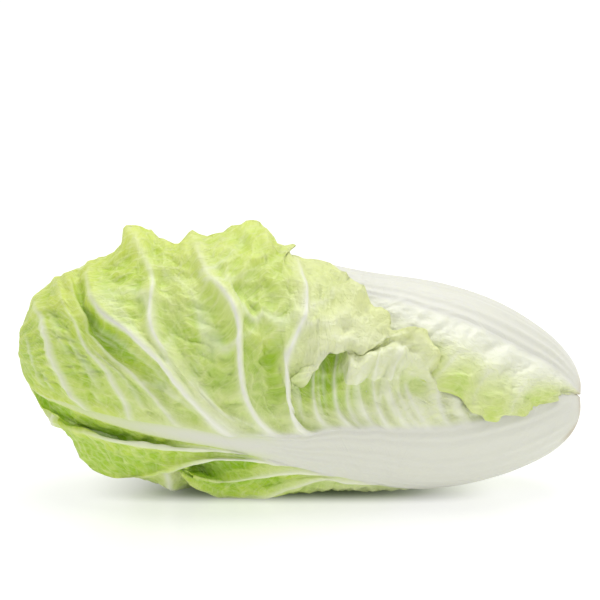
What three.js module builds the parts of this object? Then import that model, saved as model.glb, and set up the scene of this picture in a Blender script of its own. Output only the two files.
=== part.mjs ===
// A head of napa cabbage as picked, lying on its side: a short stem with the butt cut across,
// and the leaves that grow from it in a spiral, each wrapped under the leaves that grew before it.
// Millimetres and degrees. +Z is up, the cut butt faces +X and the leaf tips point to -X.
//
// Every place on a leaf is given by three numbers:
//   station  distance from the butt along the head, on its outer form
//   around   angle about the head's axis: 0 faces -Y, 90 is up, -90 is the side that it lies on
//   depth    how far in from the outer form, along a ray to the head's spine
// All leaves are cut from layers of the same faceted rays, so neighbours lie face to face
// with an even gap and never cross.
import * as THREE from 'three';

const { lerp, clamp, smoothstep, degToRad } = THREE.MathUtils;

// ---------- Driving dimensions ----------
const HEAD_LENGTH = 316;
const PETIOLE_WAIST = 64; // half the head's height where the white petioles are
const BLADE_WAIST = 71; // half its height where the leaf blades are
const WIDTH_SHARE = 1.04; // half-width over half-height
const WAIST_CHANGE = [100, 210]; // stations between which the waist grows
const BUTT_ROUNDING = { start: 5, length: 135, power: 2.2 };
const TIP_ROUNDING = { start: 200, length: 117, power: 2.4 };
const AXIS_HEIGHTS = [42, 54.5, 58.5, 60, 64, 66.5, 70, 75.5, 82]; // at even steps, butt to tips
const SPINE = [34, 276]; // where the rays of the first and last station meet the axis

const STATIONS = [0, 8, 22, 45, 80, 125, 175, 220, 255, 282, 302, HEAD_LENGTH];
const COLUMNS = 20;
const COLUMN_STEP = 360 / COLUMNS;

const LEAVES = { outer_leaf: 5, middle_leaf: 8, heart_leaf: 7 };
const LEAF_COUNT = LEAVES.outer_leaf + LEAVES.middle_leaf + LEAVES.heart_leaf;
const FIRST_MIDRIB = -47; // the outermost leaf's midrib, low on the side that faces -Y
const GOLDEN_ANGLE = 137.5; // from each leaf to the next one up the stem
const LOOSE_LEAVES = 6; // the outer ones, whose puckered blades take more room
const LOOSE_BLADE = 3.2;
const TIGHT_BLADE = 1.9;
const LEAF_GAP = 0.5;
const MIDRIB = { base: 6, tip: 0.8, halfWidthBase: 30, halfWidthTip: 10 }; // extra thickness, degrees

const STEM_PROFILE = [
  [12.5, 0],
  [13.5, 8],
  [16.5, 20],
  [18, 34],
  [16.5, 50],
  [11.5, 66],
  [4.5, 80],
]; // radius, distance from the butt
const STEM_LENGTH = 84;
const STEM_SIDES = 24;
const STEM_GAP = 0.6;
const BASE_SEARCH = { above: 6, row: 0.125, around: 6 }; // rows of stations, degrees
const STEM_FOOT = 3; // the cut stem sits a little inside the petioles around it

// Half-widths of a leaf in degrees at even steps from the butt to the tips.
const COMMON_WIDTH = [60, 66, 84, 98, 103, 106, 104, 90, 62];
const FIRST_LEAF_UPPER = [38, 46, 60, 84, 118, 140, 138, 116, 80];
const FIRST_LEAF_LOWER = [56, 64, 84, 92, 94, 92, 88, 78, 58];
const WIDTH_GAIN = 0.022; // each leaf further in wraps further round, because the head is narrower there
const MOST_WRAP = 158;
const MARGIN_FLARE = { lift: 13, from: 0.55, grows: [120, 190], ends: [250, 300] }; // first leaf, upper side

// ---------- The head's outer form ----------
// A smooth curve through values at even steps; share runs from 0 to 1.
function alongCurve(values, share) {
  const last = values.length - 1;
  const place = clamp(share, 0, 1) * last;
  const i = Math.min(Math.floor(place), last - 1);
  const before = i > 0 ? values[i - 1] : 2 * values[0] - values[1];
  const after = i < last - 1 ? values[i + 2] : 2 * values[last] - values[last - 1];
  const t = place - i;
  const bend = 2 * before - 5 * values[i] + 4 * values[i + 1] - after;
  const twist = 3 * (values[i] - values[i + 1]) + after - before;
  return values[i] + 0.5 * t * (values[i + 1] - before + t * (bend + t * twist));
}

function rounded(share, power) {
  return Math.sqrt(1 - Math.pow(1 - clamp(share, 0, 1), power));
}

function halfHeight(station) {
  const waist = lerp(PETIOLE_WAIST, BLADE_WAIST, smoothstep(station, ...WAIST_CHANGE));
  const butt = rounded((station + BUTT_ROUNDING.start) / BUTT_ROUNDING.length, BUTT_ROUNDING.power);
  const pastWaist = clamp((station - TIP_ROUNDING.start) / TIP_ROUNDING.length, 0, 1);
  return waist * butt * Math.sqrt(1 - Math.pow(pastWaist, TIP_ROUNDING.power));
}

function axisPoint(station) {
  return new THREE.Vector3(-station, 0, alongCurve(AXIS_HEIGHTS, station / HEAD_LENGTH));
}

// The point at a depth under the outer form. The form is flattened where it lies on the floor, z = 0.
function headPoint(station, around, depth) {
  const angle = degToRad(around);
  const reach = halfHeight(station);
  const outer = axisPoint(station);
  outer.y -= WIDTH_SHARE * reach * Math.cos(angle);
  outer.z = Math.max(outer.z + reach * Math.sin(angle), 0);
  const spine = axisPoint(lerp(...SPINE, station / HEAD_LENGTH));
  return outer.lerp(spine, depth / outer.distanceTo(spine));
}

// ---------- Leaves as layers ----------
function turnFrom(midrib, around) {
  return THREE.MathUtils.euclideanModulo(around - midrib + 180, 360) - 180;
}

function makeLeafPlan(index) {
  const first = index === 0;
  return {
    index,
    midrib: FIRST_MIDRIB + GOLDEN_ANGLE * index,
    blade: index < LOOSE_LEAVES ? LOOSE_BLADE : TIGHT_BLADE,
    upper: first ? FIRST_LEAF_UPPER : COMMON_WIDTH,
    lower: first ? FIRST_LEAF_LOWER : COMMON_WIDTH,
    corners: new Set(), // the corners of the rays that its facets touch
  };
}

function halfWidth(leaf, station, side) {
  const widths = side > 0 ? leaf.upper : leaf.lower;
  const common = alongCurve(widths, station / HEAD_LENGTH);
  return Math.min(common * (1 + WIDTH_GAIN * leaf.index), MOST_WRAP);
}

function thickness(leaf, station, around) {
  const share = station / HEAD_LENGTH;
  const turn = turnFrom(leaf.midrib, around) / lerp(MIDRIB.halfWidthBase, MIDRIB.halfWidthTip, share);
  const rib = lerp(MIDRIB.base, MIDRIB.tip, share) * (1 - leaf.index / (2 * LEAF_COUNT));
  return leaf.blade + rib * Math.exp(-turn * turn);
}

// A leaf lies under all the leaves before it whose facets touch this corner of the rays.
function depthAt(leaf, row, column) {
  const around = column * COLUMN_STEP;
  const station = STATIONS[row];
  const over = leafPlans.slice(0, leaf.index).filter((plan) => plan.corners.has(cornerKey(row, column)));
  const depth = over.reduce((sum, plan) => sum + thickness(plan, station, around) + LEAF_GAP, 0);
  return leaf.index === 0 ? -marginFlare(leaf, station, around) : depth;
}

function marginFlare(leaf, station, around) {
  const turn = turnFrom(leaf.midrib, around);
  if (turn < 0) return 0;
  const outward = smoothstep(turn / halfWidth(leaf, station, turn), MARGIN_FLARE.from, 1);
  const along = smoothstep(station, ...MARGIN_FLARE.grows) * (1 - smoothstep(station, ...MARGIN_FLARE.ends));
  return MARGIN_FLARE.lift * outward * along;
}

function cornerKey(row, column) {
  return `${row},${THREE.MathUtils.euclideanModulo(column, COLUMNS)}`;
}

const leafPlans = Array.from({ length: LEAF_COUNT }, (_, index) => makeLeafPlan(index));

// ---------- The stem ----------
const stemFoot = axisPoint(STEM_FOOT);
const stemDirection = axisPoint(STEM_FOOT + STEM_LENGTH).sub(stemFoot).normalize();

function stemRadiusAt(distance) {
  const outline = [...STEM_PROFILE, [0, STEM_LENGTH]];
  const next = outline.findIndex(([, along]) => along > distance);
  if (next < 1) return next === 0 ? outline[0][0] : 0;
  const [[r0, d0], [r1, d1]] = [outline[next - 1], outline[next]];
  return lerp(r0, r1, (distance - d0) / (d1 - d0));
}

function clearOfStem(point) {
  const offset = point.clone().sub(stemFoot);
  const along = offset.dot(stemDirection);
  return offset.addScaledVector(stemDirection, -along).length() > stemRadiusAt(along) + STEM_GAP;
}

function makeStem(material) {
  const outline = [[0, 0], ...STEM_PROFILE, [0, STEM_LENGTH]].map(([r, d]) => new THREE.Vector2(r, d));
  const stem = new THREE.Mesh(new THREE.LatheGeometry(outline, STEM_SIDES), material);
  stem.name = 'stem_core';
  stem.position.copy(stemFoot);
  stem.quaternion.setFromUnitVectors(new THREE.Vector3(0, 1, 0), stemDirection);
  return stem;
}

// ---------- Cutting a leaf out of its layer ----------
// A margin is kept between the rays, so that no cut passes through a corner of a facet.
function betweenRays(around) {
  const third = COLUMN_STEP / 3;
  const ray = Math.floor(around / COLUMN_STEP) * COLUMN_STEP;
  return ray + (around - ray < COLUMN_STEP / 2 ? third : 2 * third);
}

function marginsAt(leaf, row) {
  return [-1, 1].map((side) => betweenRays(leaf.midrib + side * halfWidth(leaf, STATIONS[row], side)));
}

// The facet of the rays that holds a place: three corners, each [row, column].
function facetAt(row, around) {
  const i = Math.min(Math.floor(row), STATIONS.length - 2);
  const j = Math.floor(around / COLUMN_STEP);
  const first = row - i + around / COLUMN_STEP - j < 1;
  return first ? [[i, j], [i, j + 1], [i + 1, j]] : [[i, j + 1], [i + 1, j + 1], [i + 1, j]];
}

// A point on a flat facet of a leaf's outer or inner face, blended from the facet's three corners.
function facetPoint(leaf, [row, around], inner) {
  const facet = facetAt(row, around);
  const flat = facet.map(([i, j]) => new THREE.Vector3(i, j * COLUMN_STEP, 0));
  const share = new THREE.Vector3();
  THREE.Triangle.getBarycoord(new THREE.Vector3(row, around, 0), ...flat, share);
  const point = new THREE.Vector3();
  facet.forEach(([i, j], n) => {
    const wall = inner ? thickness(leaf, STATIONS[i], j * COLUMN_STEP) : 0;
    const corner = headPoint(STATIONS[i], j * COLUMN_STEP, depthAt(leaf, i, j) + wall);
    point.addScaledVector(corner, share.getComponent(n));
  });
  return point;
}

// The row, with a fraction, at which the leaf's inner face comes down to the stem.
function baseRow(leaf) {
  const meets = (row) => {
    const [from, to] = marginsAt(leaf, Math.ceil(row));
    for (let around = from; around < to; around += BASE_SEARCH.around) {
      if (!clearOfStem(facetPoint(leaf, [row, around], true))) return true;
    }
    return false;
  };
  let row = BASE_SEARCH.above;
  while (row > 0 && !meets(row - BASE_SEARCH.row)) row -= BASE_SEARCH.row;
  return row;
}

// Keeps the part of a polygon where side(vertex) is positive. Vertices are [row, around].
function clip(polygon, side) {
  const kept = [];
  polygon.forEach((here, n) => {
    const next = polygon[(n + 1) % polygon.length];
    const [a, b] = [side(here), side(next)];
    if (a >= 0) kept.push(here);
    if (a * b < 0) kept.push(here.map((value, axis) => lerp(value, next[axis], a / (a - b))));
  });
  return kept;
}

function leafPolygons(leaf) {
  const start = baseRow(leaf);
  const polygons = [];
  for (let row = Math.floor(start); row < STATIONS.length - 1; row++) {
    const [low0, high0] = marginsAt(leaf, row);
    const [low1, high1] = marginsAt(leaf, row + 1);
    const insideLow = ([r, around]) => around - lerp(low0, low1, r - row);
    const insideHigh = ([r, around]) => lerp(high0, high1, r - row) - around;
    const pastBase = ([r]) => r - start;
    const from = Math.floor(Math.min(low0, low1) / COLUMN_STEP);
    const to = Math.ceil(Math.max(high0, high1) / COLUMN_STEP);
    for (let column = from; column < to; column++) {
      const facets = [
        [[row, column], [row, column + 1], [row + 1, column]],
        [[row, column + 1], [row + 1, column + 1], [row + 1, column]],
      ];
      for (const facet of facets) {
        const whole = facet.map(([i, j]) => [i, j * COLUMN_STEP]);
        const cut = [insideLow, insideHigh, pastBase].reduce(clip, whole);
        if (cut.length < 3) continue;
        polygons.push(cut);
        facet.forEach(([i, j]) => leaf.corners.add(cornerKey(i, j)));
      }
    }
  }
  return polygons;
}

function makeLeafGeometry(leaf) {
  const numbers = new Map();
  const outside = [];
  const inside = [];
  const faces = [];
  for (const polygon of leafPolygons(leaf)) {
    const ids = polygon.map((vertex) => {
      const key = vertex.map((value) => Math.round(value * 1e4)).join();
      if (!numbers.has(key)) {
        numbers.set(key, outside.length);
        outside.push(facetPoint(leaf, vertex, false));
        inside.push(facetPoint(leaf, vertex, true));
      }
      return numbers.get(key);
    });
    for (let n = 1; n < ids.length - 1; n++) faces.push([ids[0], ids[n], ids[n + 1]]);
  }
  const count = outside.length;
  const edges = new Set(faces.flatMap(([a, b, c]) => [`${a},${b}`, `${b},${c}`, `${c},${a}`]));
  const index = faces.flatMap(([a, b, c]) => [a, b, c, count + a, count + c, count + b]);
  for (const edge of edges) {
    const [a, b] = edge.split(',').map(Number);
    if (!edges.has(`${b},${a}`)) index.push(b, a, count + a, b, count + a, count + b);
  }
  const geometry = new THREE.BufferGeometry().setFromPoints([...outside, ...inside]);
  geometry.setIndex(index);
  geometry.computeVertexNormals();
  return geometry;
}

// ---------- Materials and the finished head ----------
function leafMaterial(colour) {
  return new THREE.MeshStandardMaterial({ color: colour, roughness: 0.45, metalness: 0 });
}

const LEAF_MATERIALS = {
  outer_leaf: leafMaterial(0xb9cb72),
  middle_leaf: leafMaterial(0xd9e29a),
  heart_leaf: leafMaterial(0xeeedb4),
};

// The outermost leaf comes first: each leaf's depth counts the leaves made before it.
function makeLeaves() {
  const names = Object.entries(LEAVES).flatMap(([layer, count]) => Array(count).fill(layer));
  return names.map((layer, index) => {
    const leaf = new THREE.Mesh(makeLeafGeometry(leafPlans[index]), LEAF_MATERIALS[layer]);
    leaf.name = `${layer}_${index + 1 - names.indexOf(layer)}`;
    return leaf;
  });
}

const head = new THREE.Group();
head.add(makeStem(leafMaterial(0xece8da)), ...makeLeaves());

// The origin is the middle of the head's bounding box, on the floor.
const middle = new THREE.Box3().setFromObject(head).getCenter(new THREE.Vector3());
head.position.set(-middle.x, -middle.y, 0);

export default head;
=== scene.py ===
# %% [markdown]
# # A head of napa cabbage
# The head lies on its side as it was picked: a short stem, and leaves wrapped round each other from the
# loose green outer ones to the small blanched heart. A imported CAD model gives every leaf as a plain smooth
# layer. This script keeps its size and place, and builds the real surface of each leaf: the white rib, the
# side veins that fan out from it, the puckered blade between them and the ruffled edge.
# All modelling numbers are millimetres and degrees; they become metres when a mesh is made.

# %% The frame
import math
from functools import partial
from types import SimpleNamespace
import bpy
import numpy as np
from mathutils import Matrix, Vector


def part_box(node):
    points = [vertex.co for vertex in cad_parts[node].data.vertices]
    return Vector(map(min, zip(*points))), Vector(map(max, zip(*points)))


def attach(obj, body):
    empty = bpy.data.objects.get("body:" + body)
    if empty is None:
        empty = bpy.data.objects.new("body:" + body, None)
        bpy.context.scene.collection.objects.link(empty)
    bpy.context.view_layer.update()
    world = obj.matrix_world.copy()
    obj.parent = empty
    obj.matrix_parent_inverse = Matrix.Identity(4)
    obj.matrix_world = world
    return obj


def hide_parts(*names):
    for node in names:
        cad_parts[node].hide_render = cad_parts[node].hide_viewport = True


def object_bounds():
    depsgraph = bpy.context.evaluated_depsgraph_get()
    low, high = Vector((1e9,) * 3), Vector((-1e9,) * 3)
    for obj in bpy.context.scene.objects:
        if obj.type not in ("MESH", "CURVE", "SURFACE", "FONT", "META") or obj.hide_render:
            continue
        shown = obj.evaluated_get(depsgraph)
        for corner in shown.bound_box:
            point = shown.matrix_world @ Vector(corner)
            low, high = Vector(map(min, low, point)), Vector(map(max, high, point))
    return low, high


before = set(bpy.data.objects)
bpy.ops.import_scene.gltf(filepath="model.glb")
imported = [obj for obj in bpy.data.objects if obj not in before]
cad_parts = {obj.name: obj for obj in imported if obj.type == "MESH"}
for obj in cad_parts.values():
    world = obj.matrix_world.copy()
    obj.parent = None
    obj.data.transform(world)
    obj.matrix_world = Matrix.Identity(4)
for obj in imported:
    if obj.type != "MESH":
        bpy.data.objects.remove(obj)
cad_box = [list(corner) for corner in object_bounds()]
MM = 0.001
low, high = [np.array(corner) / MM for corner in cad_box]
print("head in mm:", np.round(high - low, 1))

# %% [markdown]
# ## Where a point of the head is
# A leaf is easiest to think of on the head's own form, not in x, y and z. So every point has a
# **station** (distance from the cut butt towards the tips), an **around** angle about the head's axis
# (0 faces -Y, 90 is up, -90 is the side the head lies on) and a **lift** out of that form, or into it where
# negative. The form is a barrel: round at the butt, fuller where the blades are, domed at the tips.
# It could be a lattice or a modifier; a formula is used because every leaf then shares it exactly.

# %% The head's form
HEAD_LENGTH = high[0] - low[0]
WIDTH_SHARE = 1.04  # width over height
BLADE_WAIST = (high[1] - low[1]) / 2 / WIDTH_SHARE  # half height where the blades are
PETIOLE_WAIST = 0.865 * BLADE_WAIST  # and nearer the butt, where there is less blade
WAIST_CHANGE = (100, 210)  # stations between which one becomes the other
BUTT = {"start": 1, "length": 131, "power": 2.2}
TIPS = {"start": 190, "length": 127, "power": 2.4}
TIP_CLOSE = 0.9999  # how nearly the form closes to a point at the tips
AXIS_SHARES = [0.72, 0.79, 0.825, 0.845, 0.90, 0.935, 0.985, 1.06, 1.15]  # the axis's height, butt to tips
SPINE = (34, 276)  # stations of the core that lifts point away from
FLOOR_SOFTNESS = 1.2  # mm over which the side it lies on flattens
FLOOR_GAP = 0.2  # mm that the outer side keeps above the floor
print("waist in mm:", round(2 * BLADE_WAIST), "high")

# %% Points on the head's form
def smooth(x, start, end):
    """0 up to start and 1 from end, with a soft rise between them."""
    t = np.clip((np.asarray(x, float) - start) / (end - start), 0, 1)
    return t * t * (3 - 2 * t)


def along_curve(values, share):
    """A smooth curve through values at even steps; share runs from 0 to 1. Values may be points."""
    values = np.asarray(values, float)
    share = np.asarray(share, float)
    padded = np.concatenate([[2 * values[0] - values[1]], values, [2 * values[-1] - values[-2]]])
    place = np.clip(share, 0, 1) * (len(values) - 1)
    i = np.minimum(place.astype(int), len(values) - 2)
    t = (place - i).reshape(share.shape + (1,) * (values.ndim - 1))
    a, b, c, d = (padded[i + n] for n in range(4))
    return b + 0.5 * t * (c - a + t * (2 * a - 5 * b + 4 * c - d + t * (3 * (b - c) + d - a)))


def half_height(station):
    """Half the head's height at each station."""
    waist = PETIOLE_WAIST + (BLADE_WAIST - PETIOLE_WAIST) * smooth(station, *WAIST_CHANGE)
    butt = np.clip((station + BUTT["start"]) / BUTT["length"], 0, 1)
    tips = np.clip((station - TIPS["start"]) / TIPS["length"], 0, TIP_CLOSE)
    return waist * np.sqrt(1 - (1 - butt) ** BUTT["power"]) * np.sqrt(1 - tips ** TIPS["power"])


def axis_point(station):
    """The middle of the head at each station."""
    height = BLADE_WAIST * along_curve(AXIS_SHARES, station / HEAD_LENGTH)
    return np.stack([high[0] - station, np.zeros_like(station), height], -1)


def head_point(station, around, lift):
    """Points in mm, in the frame of the part, for arrays of station, around and lift."""
    station, around, lift = np.broadcast_arrays(*(np.asarray(v, float) for v in (station, around, lift)))
    angle = np.radians(around)
    reach = half_height(station)
    outer = axis_point(station)
    outer[..., 1] -= WIDTH_SHARE * reach * np.cos(angle)
    outer[..., 2] += reach * np.sin(angle)
    spine = axis_point(SPINE[0] + (SPINE[1] - SPINE[0]) * np.clip(station / HEAD_LENGTH, 0, 1))
    out = outer - spine
    out /= np.linalg.norm(out, axis=-1, keepdims=True)
    return outer + out * lift[..., None]


def rest_on_floor(points):
    """Presses flat what would reach below the floor."""
    z = points[..., 2] - FLOOR_GAP
    points[..., 2] = FLOOR_GAP + (z + np.sqrt(z * z + FLOOR_SOFTNESS**2)) / 2
    return points


print("tips end at", np.round(head_point(HEAD_LENGTH, 0, 0), 1))

# %% [markdown]
# ## Noise that repeats
# Leaves are irregular, but each run has to give the same leaf. Two small helpers start from fixed seeds: one
# gives smooth lumps over a plane of leaf millimetres, the other the edges of a net of cells, like blisters
# between small veins. Blender's textures could displace a mesh too, but numbers in an array can colour it
# as well.

# %% Smooth noise
LATTICE, CELL_LATTICE = 256, 128  # lumps or cells that go by before a pattern repeats


def between_cells(grid, i, j, share_i, share_j):
    """Blends each cell (i, j) of a grid that repeats with the next ones, by the shares."""
    next_i, next_j = (i + 1) % grid.shape[0], (j + 1) % grid.shape[1]
    i, j = i % grid.shape[0], j % grid.shape[1]
    near = grid[i, j] * (1 - share_j) + grid[i, next_j] * share_j
    far = grid[next_i, j] * (1 - share_j) + grid[next_i, next_j] * share_j
    return near * (1 - share_i) + far * share_i


def plane_noise(u, v, scale, seed):
    """Noise from about -1 to 1 over a plane of (u, v) in mm, with smooth lumps about scale mm wide."""
    rng = np.random.default_rng(seed)
    lattice = rng.uniform(-1, 1, (LATTICE, LATTICE))
    x, y = np.asarray(u) / scale, np.asarray(v) / scale
    i, j = np.floor(x).astype(int), np.floor(y).astype(int)
    return between_cells(lattice, i, j, smooth(x - i, 0, 1), smooth(y - j, 0, 1))


def cell_edges(u, v, size, seed):
    """Distance in mm to the nearest edge of a net of cells about size wide, over a plane of (u, v)."""
    rng = np.random.default_rng(seed)
    jitter = rng.uniform(0.12, 0.88, (CELL_LATTICE, CELL_LATTICE, 2))
    x, y = np.asarray(u) / size, np.asarray(v) / size
    i, j = np.floor(x).astype(int), np.floor(y).astype(int)
    nearest, second = np.full(x.shape, 9.0), np.full(x.shape, 9.0)
    for a in (-1, 0, 1):
        for b in (-1, 0, 1):
            middle = jitter[(i + a) % CELL_LATTICE, (j + b) % CELL_LATTICE]
            d = np.hypot(i + a + middle[..., 0] - x, j + b + middle[..., 1] - y)
            second = np.minimum(second, np.maximum(nearest, d))
            nearest = np.minimum(nearest, d)
    return (second - nearest) * size / 2


sample = plane_noise(np.arange(500), 0, 3, 1)
print("noise from", round(sample.min(), 2), "to", round(sample.max(), 2))

# %% [markdown]
# ## How a leaf is laid out
# The side veins of a cabbage leaf leave the midrib at a low angle and sweep towards the tip, and everything
# between them follows. So a leaf is lofted between **guides**: each guide is a side vein, or a fold between
# two veins, written as a few places (station, around, lift) from the midrib out to the edge.
# The grid's rows follow the guides, which lets the blade fold over itself, as no height map could.

# %% Guides
GUIDE_POINTS = 13  # points that every guide is resampled to, so that neighbours match one to one
HOLD = 0.6  # share of a line to which a vein keeps its strength


def guide(places, vein=0.0, fork=0.0, until=1.0, hold=HOLD):
    """One line from the midrib to the leaf's edge, through places of (station, around, lift), or without the
    lift where it is 0. vein is how thick its vein is, from 0 to 1. It shows from the share fork of the line,
    where it leaves its neighbour, keeps its strength to the share hold and fades out by the share until."""
    places = np.array([(*place, 0)[:3] for place in places], float)
    points = along_curve(places, np.linspace(0, 1, GUIDE_POINTS))
    return {"points": points, "vein": vein, "fork": fork, "until": until, "hold": hold}


def fan(rows):
    """Guides from rows of places, each with the measures of its vein last."""
    counts = [sum(isinstance(item, tuple) for item in row) for row in rows]
    return [guide(row[:count], *row[count:]) for row, count in zip(rows, counts)]


# %% Lofting a blade between guides
STEPS_BETWEEN = 40  # steps from guide to guide in which a row's root is looked up
LOBE, SMALL_LOBE, NOTCH = 15, 6, 8  # mm along the edge


def loft(guides, roots, columns, trim=None):
    """Places (station, around, lift) on a grid: a row for each root station, columns from midrib to edge.
    trim is the share of each row by which the ragged edge of the leaf falls short."""
    stack = np.array([g["points"] for g in guides])
    fine = np.linspace(0, 1, STEPS_BETWEEN * (len(guides) - 1) + 1)
    root_of = np.maximum.accumulate(along_curve(stack[:, 0, 0], fine))
    share = np.interp(roots, root_of, fine)
    lines = along_curve(stack, share)
    across = along_curve(lines.transpose(1, 0, 2), np.linspace(0, 1, columns)).transpose(1, 0, 2)
    if trim is None:
        return across
    t = np.linspace(0, 1, columns)[None, :]
    t = t * (1 - trim[:, None] * smooth(t, 0.7, 1.0)) * (columns - 1)
    i = np.minimum(t.astype(int), columns - 2)
    row = np.arange(len(roots))[:, None]
    part = (t - i)[..., None]
    return across[row, i] * (1 - part) + across[row, i + 1] * part


def run_length(points, axis):
    """Distance along the grid lines of one axis, from 0."""
    step = np.linalg.norm(np.diff(points, axis=axis), axis=-1)
    shape = list(points.shape[:2])
    shape[axis] = 1
    return np.concatenate([np.zeros(shape), np.cumsum(step, axis=axis)], axis)


def ragged_edge(guides, roots, depth, seed):
    """How far each row falls short of the full leaf: soft lobes and a few notches along the edge."""
    edge = head_point(*loft(guides, roots, GUIDE_POINTS)[:, -1].T)
    run = run_length(edge[:, None], 0)[:, 0]
    lobes = 0.5 + 0.5 * plane_noise(run, 0, LOBE, seed) + 0.3 * plane_noise(run, 7, SMALL_LOBE, seed + 1)
    notches = smooth(plane_noise(run, 3, NOTCH, seed + 2), 0.4, 0.8)
    return depth * (lobes + notches) * smooth(roots, 0, 50) * (1 - smooth(roots, 240, 300))


def row_stations(sides, rows):
    """Root stations for the rows: one on every guide, and more where neighbouring guides spread apart."""
    knots = sorted({float(g["points"][0, 0]) for guides in sides for g in guides})
    spread = []
    for a, b in zip(knots, knots[1:]):
        ends = [loft(guides, np.array([a, b]), GUIDE_POINTS) for guides in sides]
        ends = [head_point(*np.moveaxis(e, -1, 0)) for e in ends]
        spread.append(max(np.linalg.norm(e[1] - e[0], axis=-1).max() for e in ends))
    shares = np.array(spread) / sum(spread)
    steps = np.maximum(2, np.round(shares * (rows - len(knots)))).astype(int)
    parts = [np.linspace(a, b, n, endpoint=False) for a, b, n in zip(knots, knots[1:], steps)]
    return np.concatenate(parts + [[knots[-1]]])


# %% [markdown]
# ## From guides to a solid leaf
# One leaf is a lower blade, the midrib with its fleshy petiole, and an upper blade, all on one grid. The grid
# is measured in real leaf millimetres, so veins and puckers keep their size where the blade widens.
# On its outer side, the side that shows, every vein stands proud and the blade between veins is pressed
# in. That relief is pushed along the surface's own normals. The inner side is the same sheet moved in by the
# leaf's thickness, and the two are joined round the edge, so each leaf is one closed thin solid.

# %% Measuring the grid
def grid_normals(points, reach=1):
    """Outward unit normals, averaged by area over neighbours up to reach away, so pinched rows stay calm."""
    down, across = np.gradient(points, axis=(0, 1))
    area = np.cross(across, down)
    for axis in (0, 1):
        edge = [(0, 0)] * 3
        edge[axis] = (reach, reach)
        padded = np.pad(area, edge, mode="edge")
        size = area.shape[axis]
        area = sum(np.take(padded, range(n, n + size), axis) for n in range(2 * reach + 1))
    return area / np.maximum(np.linalg.norm(area, axis=-1, keepdims=True), 1e-9)


def skew(points):
    """Sine of the angle between rows and columns, which turns a distance along one into a clear distance."""
    down, across = np.gradient(points, axis=(0, 1))
    size = np.linalg.norm(down, axis=-1) * np.linalg.norm(across, axis=-1)
    return np.linalg.norm(np.cross(down, across), axis=-1) / np.maximum(size, 1e-9)


# %% Veins on the grid
DEGREE_ARC = 1.2  # mm of the head's surface in one degree
NO_VEIN = 60.0  # mm, for a place with no vein near it
THINNEST_VEIN, VEIN_GAIN = 0.7, 1.5  # mm of half width, and what a full vein adds to it
VEIN_TAPER = 0.6  # how fast it narrows
VEIN_FLARE, FLARE_SHARE = 0.8, 0.1  # how much wider it is where it leaves the midrib, and over what share
FORK_FADE, END_FADE, LAST_FADE = 0.08, 0.1, 0.35  # shares over which it comes and goes
TWIG_HALF_WIDTH, TWIG_POINTS = 1.5, 24  # a branch vein, in mm, and the steps it is drawn in


def vein_field(points, roots, guides, outward):
    """How near each point is to a side vein (0 to 1), and the clear distance to the nearest one in mm."""
    down_run = run_length(points, 0)
    clear = skew(points)
    clear = sum(np.roll(clear, n, 1) for n in range(-3, 4)) / 7
    near, distance = np.zeros(points.shape[:2]), np.full(points.shape[:2], NO_VEIN)
    for line in guides:
        if line["vein"] <= 0:
            continue
        row = int(np.argmin(abs(roots - line["points"][0, 0])))
        gap = abs(down_run - down_run[row]) * clear
        taper = 1 - VEIN_TAPER * np.maximum(outward - (line["hold"] - HOLD), 0)
        half_width = THINNEST_VEIN + VEIN_GAIN * line["vein"]
        half_width = half_width * taper * (1 + VEIN_FLARE * np.exp(-outward / FLARE_SHARE))
        strength = min(1, 4 * line["vein"], 0.25 + line["vein"])
        strength = strength * (1 - 0.85 * smooth(outward, line["hold"], line["hold"] + LAST_FADE))
        strength = strength * smooth(outward, line["fork"] - FORK_FADE, line["fork"])
        strength = strength * (1 - smooth(outward, line["until"] - END_FADE, line["until"]))
        near = np.maximum(near, strength * np.exp(-((gap / half_width) ** 2)))
        distance = np.minimum(distance, gap)
    return near, distance


def twig_field(twig, station, around):
    """How near each place is to a branch vein given as (station, around) points, with its strength last."""
    line = along_curve(np.array(twig[:-1], float), np.linspace(0, 1, TWIG_POINTS))
    nearest = np.full(station.shape, NO_VEIN)
    share_there = np.zeros(station.shape)
    for number, (s, a) in enumerate(line):
        gap = np.hypot(station - s, (around - a) * DEGREE_ARC)
        closer = gap < nearest
        nearest = np.minimum(gap, nearest)
        share_there = np.where(closer, number / (TWIG_POINTS - 1), share_there)
    return twig[-1] * (1 - 0.8 * share_there) * np.exp(-((nearest / TWIG_HALF_WIDTH) ** 2))


# %% [markdown]
# ## Packing leaves under leaves
# In the head every leaf lies close under the next one out. The leaves are made from the outside in, and a
# map of the head keeps the lowest lift that any leaf has taken at each spot. The next leaf is pressed below
# that. A cloth simulation could pack them too, but it is slow, and thin sheets can slip through each other.

# %% Packing leaves under leaves
CEILING_LENGTH = 330  # stations that the map covers
CEILING_STEP = {"station": 2.0, "around": 3.0}  # one cell, in mm and degrees
GAP = 0.8  # air between two leaves
NEAR_REACH = 2  # cells that a leaf keeps clear round each of its points
ceiling = np.zeros((int(CEILING_LENGTH / CEILING_STEP["station"]), int(360 / CEILING_STEP["around"])))


def widen(grid, reach, choose):
    """The grid with each cell set by choose() from itself and its neighbours, wrapping round the head."""
    steps = range(-reach, reach + 1)
    padded = np.pad(grid, ((reach, reach), (0, 0)), mode="edge")
    rows = [padded[reach + n:reach + n + len(grid)] for n in steps]
    return choose([np.roll(row, m, 1) for row in rows for m in steps])


def ceiling_cell(station, around):
    """Row and column of each place on the map, with the part of the way to the next ones."""
    row = np.clip(np.asarray(station) / CEILING_STEP["station"], 0, ceiling.shape[0] - 1.001)
    column = (np.asarray(around) % 360) / CEILING_STEP["around"]
    return row, column


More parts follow.
